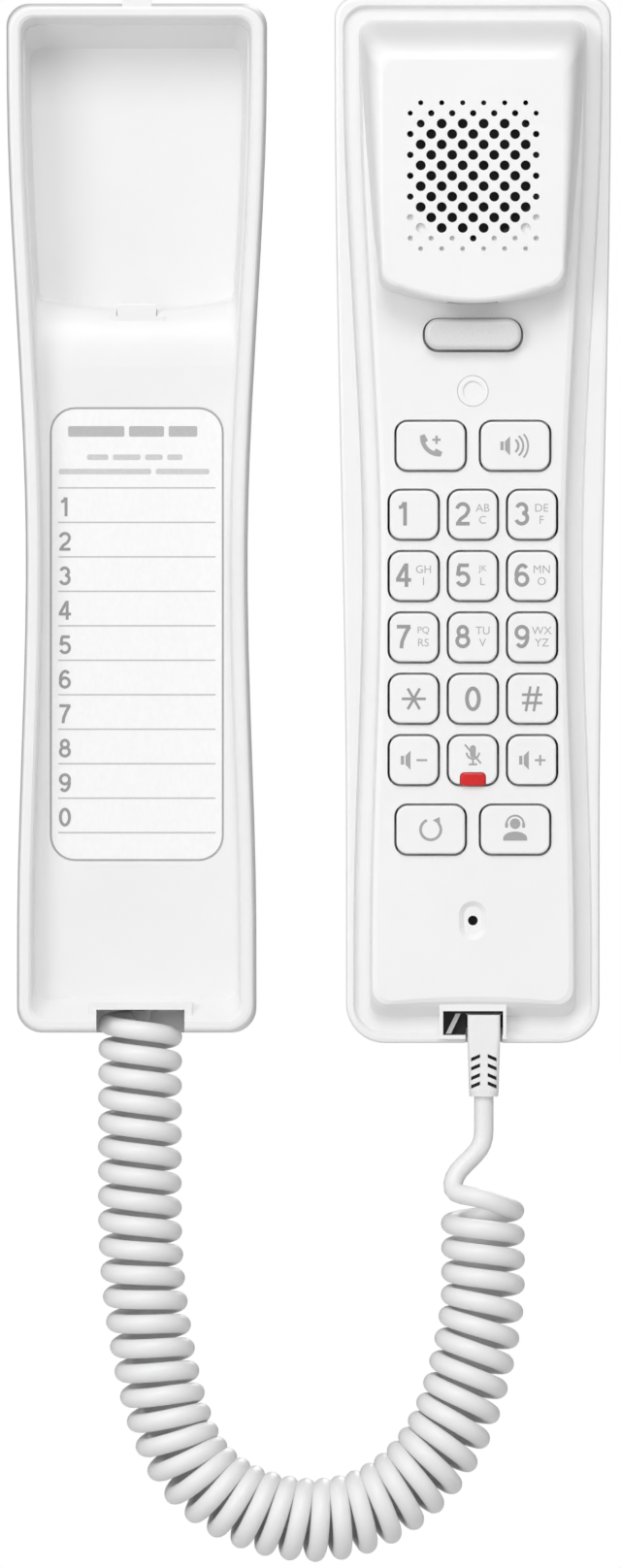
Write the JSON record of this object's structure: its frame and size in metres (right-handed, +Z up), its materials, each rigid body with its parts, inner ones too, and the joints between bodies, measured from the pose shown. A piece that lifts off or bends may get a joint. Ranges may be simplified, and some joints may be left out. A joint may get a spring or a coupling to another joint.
{
  "type": "slimline wall telephone",
  "caption": "Slim two-piece wall telephone: a wall base with an earpiece pocket and a label card, and a handset with keypad, hook button and lamp, joined by a curly cord.",
  "frame": {"origin": "on the wall plane, midway between the two wall screws of the bracket", "axes": "+X to the right of a person who faces the phone, +Z up, +Y into the wall"},
  "size_m": [0.1313, 0.0325, 0.3404],
  "materials": {
    "base_shell": "white, fine satin moulding",
    "handset_shell": "white, satin gloss",
    "steel": "zinc-plated sheet",
    "screw_steel": "zinc-plated",
    "rubber": "soft grey rubber",
    "tab_plastic": "white",
    "paper": "smooth printed card",
    "circuit_board": "green solder mask",
    "socket_plastic": "black",
    "speaker": "black and grey",
    "foam": "black foam",
    "lead_insulation": "red and black wire",
    "silicone": "translucent grey silicone",
    "switch_plastic": "black",
    "button_plastic": "translucent light grey",
    "lens": "translucent white",
    "led": "clear epoxy",
    "key_plastic": "white with grey print",
    "red_lens": "translucent red",
    "plug_plastic": "clear polycarbonate",
    "cord_jacket": "smooth white PVC"
  },
  "bodies": {
    "base": {"base_front_shell": "base_shell", "base_back_cover": "base_shell", "wall_bracket": "steel", "label_card": "paper", "base_board": "circuit_board", "network_jack": "socket_plastic", "base_cord_jack": "socket_plastic", "ringer_speaker": "speaker", "ringer_lead": "lead_insulation", "base_screws": "screw_steel", "base_feet": "rubber", "base_cord_plug": "plug_plastic", "cord_coil": "cord_jacket"},
    "hook_tab": {"hook_tab": "tab_plastic"},
    "handset": {"handset_front_shell": "handset_shell", "handset_back_shell": "handset_shell", "handset_screws": "screw_steel", "receiver_capsule": "speaker", "receiver_gasket": "foam", "receiver_lead": "lead_insulation", "microphone_boot": "rubber", "microphone_capsule": "speaker", "microphone_lead": "lead_insulation", "keypad_mat": "silicone", "keypad_board": "circuit_board", "contact_domes": "steel", "hook_switch": "switch_plastic", "hook_spring": "steel", "message_lens": "lens", "message_led": "led", "ballast_weight": "steel", "handset_cord_jack": "socket_plastic", "handset_cord_plug": "plug_plastic", "handset_cord_boot": "cord_jacket", "handset_cord_tail": "cord_jacket"},
    "hook_button": {"hook_button": "button_plastic"},
    "key_1": {"key_1": "key_plastic"},
    "key_2": {"key_2": "key_plastic"},
    "key_3": {"key_3": "key_plastic"},
    "key_4": {"key_4": "key_plastic"},
    "key_5": {"key_5": "key_plastic"},
    "key_6": {"key_6": "key_plastic"},
    "key_7": {"key_7": "key_plastic"},
    "key_8": {"key_8": "key_plastic"},
    "key_9": {"key_9": "key_plastic"},
    "key_star": {"key_star": "key_plastic"},
    "key_0": {"key_0": "key_plastic"},
    "key_hash": {"key_hash": "key_plastic"},
    "key_volume_down": {"key_volume_down": "key_plastic"},
    "key_mute": {"key_mute": "key_plastic", "mute_lamp": "red_lens"},
    "key_volume_up": {"key_volume_up": "key_plastic"},
    "key_talk": {"key_talk": "key_plastic"},
    "key_speaker": {"key_speaker": "key_plastic"},
    "key_redial": {"key_redial": "key_plastic"},
    "key_operator": {"key_operator": "key_plastic"}
  },
  "joints": [
    {"name": "handset_lift", "type": "slide", "parent": "base", "child": "handset", "axis": [0, -1, 0], "range_m": [0, 0.12], "deforming": ["cord_coil", "handset_cord_tail"]},
    {"name": "hook_tab_slide", "type": "slide", "parent": "base", "child": "hook_tab", "axis": [0, 0, 1], "range_m": [0, 0.006]},
    {"name": "hook_button_press", "type": "slide", "parent": "handset", "child": "hook_button", "axis": [0, 1, 0], "range_m": [0, 0.0022], "stiffness_N_per_m": 400, "springref_m": -0.0012, "deforming": ["hook_spring"]},
    {"name": "key_1_press", "type": "slide", "parent": "handset", "child": "key_1", "axis": [0, 1, 0], "range_m": [0, 0.001], "stiffness_N_per_m": 600, "springref_m": -0.0008},
    {"name": "key_2_press", "type": "slide", "parent": "handset", "child": "key_2", "axis": [0, 1, 0], "range_m": [0, 0.001], "stiffness_N_per_m": 600, "springref_m": -0.0008},
    {"name": "key_3_press", "type": "slide", "parent": "handset", "child": "key_3", "axis": [0, 1, 0], "range_m": [0, 0.001], "stiffness_N_per_m": 600, "springref_m": -0.0008},
    {"name": "key_4_press", "type": "slide", "parent": "handset", "child": "key_4", "axis": [0, 1, 0], "range_m": [0, 0.001], "stiffness_N_per_m": 600, "springref_m": -0.0008},
    {"name": "key_5_press", "type": "slide", "parent": "handset", "child": "key_5", "axis": [0, 1, 0], "range_m": [0, 0.001], "stiffness_N_per_m": 600, "springref_m": -0.0008},
    {"name": "key_6_press", "type": "slide", "parent": "handset", "child": "key_6", "axis": [0, 1, 0], "range_m": [0, 0.001], "stiffness_N_per_m": 600, "springref_m": -0.0008},
    {"name": "key_7_press", "type": "slide", "parent": "handset", "child": "key_7", "axis": [0, 1, 0], "range_m": [0, 0.001], "stiffness_N_per_m": 600, "springref_m": -0.0008},
    {"name": "key_8_press", "type": "slide", "parent": "handset", "child": "key_8", "axis": [0, 1, 0], "range_m": [0, 0.001], "stiffness_N_per_m": 600, "springref_m": -0.0008},
    {"name": "key_9_press", "type": "slide", "parent": "handset", "child": "key_9", "axis": [0, 1, 0], "range_m": [0, 0.001], "stiffness_N_per_m": 600, "springref_m": -0.0008},
    {"name": "key_star_press", "type": "slide", "parent": "handset", "child": "key_star", "axis": [0, 1, 0], "range_m": [0, 0.001], "stiffness_N_per_m": 600, "springref_m": -0.0008},
    {"name": "key_0_press", "type": "slide", "parent": "handset", "child": "key_0", "axis": [0, 1, 0], "range_m": [0, 0.001], "stiffness_N_per_m": 600, "springref_m": -0.0008},
    {"name": "key_hash_press", "type": "slide", "parent": "handset", "child": "key_hash", "axis": [0, 1, 0], "range_m": [0, 0.001], "stiffness_N_per_m": 600, "springref_m": -0.0008},
    {"name": "key_volume_down_press", "type": "slide", "parent": "handset", "child": "key_volume_down", "axis": [0, 1, 0], "range_m": [0, 0.001], "stiffness_N_per_m": 600, "springref_m": -0.0008},
    {"name": "key_mute_press", "type": "slide", "parent": "handset", "child": "key_mute", "axis": [0, 1, 0], "range_m": [0, 0.001], "stiffness_N_per_m": 600, "springref_m": -0.0008},
    {"name": "key_volume_up_press", "type": "slide", "parent": "handset", "child": "key_volume_up", "axis": [0, 1, 0], "range_m": [0, 0.001], "stiffness_N_per_m": 600, "springref_m": -0.0008},
    {"name": "key_talk_press", "type": "slide", "parent": "handset", "child": "key_talk", "axis": [0, 1, 0], "range_m": [0, 0.001], "stiffness_N_per_m": 600, "springref_m": -0.0008},
    {"name": "key_speaker_press", "type": "slide", "parent": "handset", "child": "key_speaker", "axis": [0, 1, 0], "range_m": [0, 0.001], "stiffness_N_per_m": 600, "springref_m": -0.0008},
    {"name": "key_redial_press", "type": "slide", "parent": "handset", "child": "key_redial", "axis": [0, 1, 0], "range_m": [0, 0.001], "stiffness_N_per_m": 600, "springref_m": -0.0008},
    {"name": "key_operator_press", "type": "slide", "parent": "handset", "child": "key_operator", "axis": [0, 1, 0], "range_m": [0, 0.001], "stiffness_N_per_m": 600, "springref_m": -0.0008}
  ]
}
